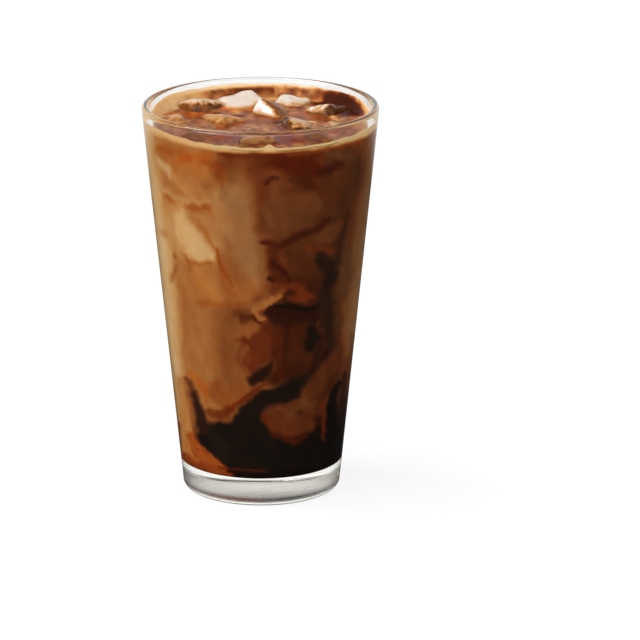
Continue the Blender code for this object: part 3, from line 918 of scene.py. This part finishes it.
def foam_edge(points):
    """The pale line of foam at the top of the side: level and how much of it there is."""
    wander = 0.35 * noise(points / 7.0, 200) + 0.2 * noise(points / 2.5, 210)
    left = smooth_step(-points[:, 0], 12.0, 32.0)
    share = smooth_step(points[:, 2] + wander - 0.8 * left, LEVEL - 2.0, LEVEL - 0.2)
    return FOAM_LEVEL + 0.22 * left, share


def top_levels(points):
    """Level and warmth on the surface, with painted light in the pockets round the ice, and on the foam
    collar.
    """
    moved = swirled(points, 33)
    radius = np.hypot(points[:, 0], points[:, 1])
    drawn = moved * np.array([1.0, 0.5, 1.0])
    level = 0.08 + 0.50 * noise(drawn / 5.5, 230) + 0.50 * noise(drawn / 2.4, 240)
    level += 0.22 * noise(drawn / 1.1, 245)
    warmth = 1.02 + 0.26 * noise(drawn / 4.0, 250)
    painted(level, warmth, TOP_PATCHES, moved[:, 0], moved[:, 1], 1.0)
    # Painted light: the pockets round the ice are painted paler than the drink round them
    pocket = smooth_step(points[:, 2], LEVEL - 0.3, LEVEL - 2.0)
    level += (POCKET_LIGHT_LEVEL - level) * pocket
    warmth += (POCKET_LIGHT_WARMTH - warmth) * pocket
    turn = np.degrees(turn_from_front(points))
    width = np.interp(turn, *zip(*COLLAR_WIDTHS))
    inward = inner_radius(LEVEL) - radius + 0.5 * noise(points / 4.0, 260) + 0.3 * noise(points / 1.6, 265)
    collar = 1 - smooth_step(inward, width - 0.6, width + 0.6)
    foot = LEVEL - 1.5 + (BACK_CLIMB + 1.3) * back_share(points)
    collar *= smooth_step(points[:, 2], foot, foot + 1.2)
    far = smooth_step(np.abs(turn), 110.0, 150.0)
    level += (-0.80 - 0.10 * far - level) * collar
    warmth += (0.95 - 0.22 * far - warmth) * collar
    return level, warmth


def raise_surface(mesh, ice_tree):
    """Lifts the surface where it climbs the ice and the glass, and gives it slow waves."""
    points = coordinates(mesh)
    radius = np.hypot(points[:, 0], points[:, 1])
    on_top = points[:, 2] > LEVEL - 0.01
    turn = np.degrees(turn_from_front(points))
    climb = smooth_step(radius, inner_radius(LEVEL) - FOAM_WIDTH, inner_radius(LEVEL))
    uneven = 0.35 * noise(points / 6.0, 300) + 0.15 * noise(points / 2.2, 310)
    uneven += BACK_CLIMB * back_share(points)
    uneven += LEFT_CLIMB * swelling(turn, -SIDE_TURN, SIDE_SPREAD)
    uneven += RIGHT_CLIMB * swelling(turn, SIDE_TURN, SIDE_SPREAD)
    uneven -= FRONT_DIP * swelling(turn, DIP_TURN, DIP_SPREAD)
    peak = PEAK_CLIMB * swelling(turn, PEAK_TURN, PEAK_SPREAD)
    lift = climb * (uneven + peak) + (1 - climb) * 0.12 * noise(points / 8.0, 320)
    for index in np.nonzero(on_top)[0]:
        away = ice_tree.find_nearest(Vector(points[index] * MM))[3] / MM
        lift[index] += ICE_CLIMB * (1 - climb[index]) * math.exp(-away / ICE_CLIMB_REACH)
    points[on_top, 2] += lift[on_top]
    set_coordinates(mesh, points)


def joined_tree(meshes):
    """One search tree over several meshes."""
    points, faces = [], []
    for mesh in meshes:
        start = len(points)
        points += [vertex.co.copy() for vertex in mesh.vertices]
        faces += [[start + index for index in face.vertices] for face in mesh.polygons]
    return BVHTree.FromPolygons(points, faces)


def cut_pockets(body, ice):
    """Takes from the drink the pocket that each piece of ice fills, a hair smaller than the ice."""
    cutters = bpy.data.collections.new("ice_pockets")
    bpy.context.scene.collection.children.link(cutters)
    for piece in ice:
        mesh = piece.data.copy()
        set_coordinates(mesh, coordinates(mesh) - point_normals(mesh) * INTO_DRINK)
        cutters.objects.link(bpy.data.objects.new("pocket", mesh))
    cut = body.modifiers.new("Pockets", "BOOLEAN")
    cut.operation = "DIFFERENCE"
    cut.solver = "MANIFOLD"
    cut.operand_type = "COLLECTION"
    cut.collection = cutters
    mesh = evaluated_mesh(body)
    for obj in list(cutters.objects):
        bpy.data.objects.remove(obj)
    bpy.data.collections.remove(cutters)
    return mesh


def paint_drink(mesh):
    """Keeps level and warmth at each point, and gives the top its wet finish."""
    points = coordinates(mesh)
    radius = np.hypot(points[:, 0], points[:, 1])
    at_wall = (radius > inner_radius(points[:, 2]) - 0.05) | (points[:, 2] < FLOOR_Z + FLOOR_CORNER + 2)
    side = np.nonzero(at_wall)[0]
    top = np.nonzero(~at_wall)[0]
    level = np.zeros(len(points))
    warmth = np.ones(len(points))
    level[side], warmth[side] = side_levels(points[side])
    foam_level, share = foam_edge(points[side])
    level[side] += (foam_level - level[side]) * share
    warmth[side] += (FOAM_WARMTH - warmth[side]) * share
    level[top], warmth[top] = top_levels(points[top])
    keep(mesh, "level", np.clip(level, MILKIEST, BLACKEST))
    keep(mesh, "warmth", warmth)
    mesh.materials.append(brew_material("brew_side", *SIDE_FINISH))
    mesh.materials.append(brew_material("brew_top", *TOP_FINISH))
    corners = np.array([polygon.vertices[:3] for polygon in mesh.polygons])
    on_side = at_wall[corners].all(axis=1)
    mesh.polygons.foreach_set("material_index", (~on_side).astype(np.int32))


def make_drink(ice):
    body = turned_mesh("drink_rough", drink_profile(), DRINK_STEPS, FRONT_CROWD)
    rough = placed("drink_rough", body)
    raise_surface(rough.data, joined_tree([piece.data for piece in ice]))
    mesh = cut_pockets(rough, ice)
    bpy.data.objects.remove(rough)
    mesh.name = "drink"
    mesh.materials.clear()
    paint_drink(mesh)
    mesh.shade_smooth()
    mesh.set_sharp_from_angle(angle=math.radians(50))
    return new_piece("drink", mesh, "latte")


def make_floor():
    """A pale floor with a glow of its own, but as dark as black card near by where the glass mirrors it."""
    mesh = bpy.data.meshes.new("floor")
    corners = [(x * FLOOR_HALF, y * FLOOR_HALF, 0) for x, y in ((-1, -1), (1, -1), (1, 1), (-1, 1))]
    mesh.from_pydata(corners, [], [(0, 1, 2, 3)])
    floor = placed("floor", mesh)
    material, tree, shader = new_material("pale_floor")
    set_inputs(tree, shader, Base_Color=(FLOOR_GREY, FLOOR_GREY, FLOOR_GREY, 1))
    set_inputs(tree, shader, Roughness=0.9, Specular_IOR_Level=0.0)
    set_inputs(tree, shader, Emission_Color=(1, 1, 1, 1), Emission_Strength=FLOOR_GLOW)
    path = tree.nodes.new("ShaderNodeLightPath").outputs
    place = tree.nodes.new("ShaderNodeTexCoord").outputs["Object"]
    far = linked(tree, "ShaderNodeVectorMath", Vector=place)
    far.operation = "LENGTH"
    near = ranged(tree, far.outputs["Value"], 1.0, 0.0, CARD_START, CARD_END)
    parts = linked(tree, "ShaderNodeSeparateXYZ", Vector=place).outputs
    beyond = worked(tree, "SUBTRACT", parts["Y"], worked(tree, "ABSOLUTE", parts["X"]))
    ahead = ranged(tree, beyond, 1.0, 0.0, -0.03, 0.03)
    mirrored = worked(tree, "MULTIPLY", path["Is Glossy Ray"], path["Is Reflection Ray"])
    returned = worked(tree, "MULTIPLY", path["Is Transmission Ray"], ahead)
    carded = worked(tree, "MULTIPLY", worked(tree, "MAXIMUM", mirrored, returned), near)
    card = linked(tree, "ShaderNodeBsdfDiffuse", Color=(CARD_GREY, CARD_GREY, CARD_GREY, 1))
    blend_shaders(tree, shader, card, carded)
    mesh.materials.append(material)


def facing(tree, direction, axis):
    """How far a direction points along an axis."""
    node = linked(tree, "ShaderNodeVectorMath", Vector=direction)
    node.operation = "DOT_PRODUCT"
    node.inputs[1].default_value = axis
    return node.outputs["Value"]


def make_light():
    """A room brightest before the glass and low down, dark at its sides, with a lamp above and a window."""
    world = bpy.data.worlds.new("studio")
    bpy.context.scene.world = world
    world.use_nodes = True
    tree = world.node_tree
    direction = tree.nodes.new("ShaderNodeTexCoord").outputs["Generated"]
    parts = linked(tree, "ShaderNodeSeparateXYZ", Vector=direction)
    overhead = ranged(tree, parts.outputs["Z"], 1.0, 0.12, 0.05, 0.75)
    behind = ranged(tree, parts.outputs["Y"], FRONT_LIGHT, BACK_LIGHT, -0.4, 0.5)
    beside = ranged(tree, worked(tree, "ABSOLUTE", parts.outputs["X"]), 0.0, 0.9, 0.74, 0.90)
    low = ranged(tree, parts.outputs["Z"], 1.0, 0.0, 0.15, 0.45)
    flags = worked(tree, "SUBTRACT", 1.0, worked(tree, "MULTIPLY", beside, low))
    room = worked(tree, "MULTIPLY", worked(tree, "MULTIPLY", overhead, behind), flags)
    lamp_side, lamp_long = Vector(LAMP_SIDE).normalized(), Vector(LAMP_LONG).normalized()
    lamp_across = lamp_side.cross(lamp_long).normalized()
    spread = 0.0
    for axis, half in zip((lamp_side.cross(lamp_across), lamp_across), LAMP_HALF_SIZES):
        aside = worked(tree, "DIVIDE", facing(tree, direction, axis), half)
        spread = worked(tree, "ADD", worked(tree, "MULTIPLY", aside, aside), spread)
    above = worked(tree, "GREATER_THAN", parts.outputs["Z"], 0.0)
    lamp = worked(tree, "MULTIPLY", ranged(tree, spread, LAMP_LIGHT, 0.0, 0.6, 1.2), above)
    windowward = facing(tree, direction, Vector(WINDOW_SIDE).normalized())
    window = ranged(tree, windowward, 0.0, WINDOW_LIGHT, 0.93, 0.97)
    room = worked(tree, "ADD", room, worked(tree, "ADD", lamp, window))
    set_inputs(tree, tree.nodes["Background"], Color=(1, 1, 1, 1), Strength=room)


def make_camera():
    """A long lens a little above the mouth, turned so that the glass falls left of the middle."""
    rise = math.radians(CAMERA_RISE_DEG)
    middle = Vector((0, 0, AXIS_POINT_Z))
    place = middle + CAMERA_DISTANCE * Vector((0, -math.cos(rise), math.sin(rise)))
    right = Vector((1, 0, 0))
    up = Vector((0, math.sin(rise), math.cos(rise)))
    half = FRAME_PX / 2
    aim = middle + right * (half - AXIS_POINT_PX[0]) / PX_PER_MM - up * (half - AXIS_POINT_PX[1]) / PX_PER_MM
    data = bpy.data.cameras.new("camera")
    data.sensor_width = SENSOR_MM
    data.lens = PX_PER_MM * CAMERA_DISTANCE * SENSOR_MM / FRAME_PX
    data.clip_start = 0.05
    data.clip_end = 50.0
    camera = placed("camera", data)
    camera.location = place * MM
    camera.rotation_euler = (aim - place).to_track_quat("-Z", "Y").to_euler()
    bpy.context.scene.camera = camera


def main():
    bpy.context.scene.view_settings.view_transform = "Standard"
    make_camera()
    make_light()
    make_floor()
    make_glass()
    ice = make_ice()
    make_drink(ice)


main()
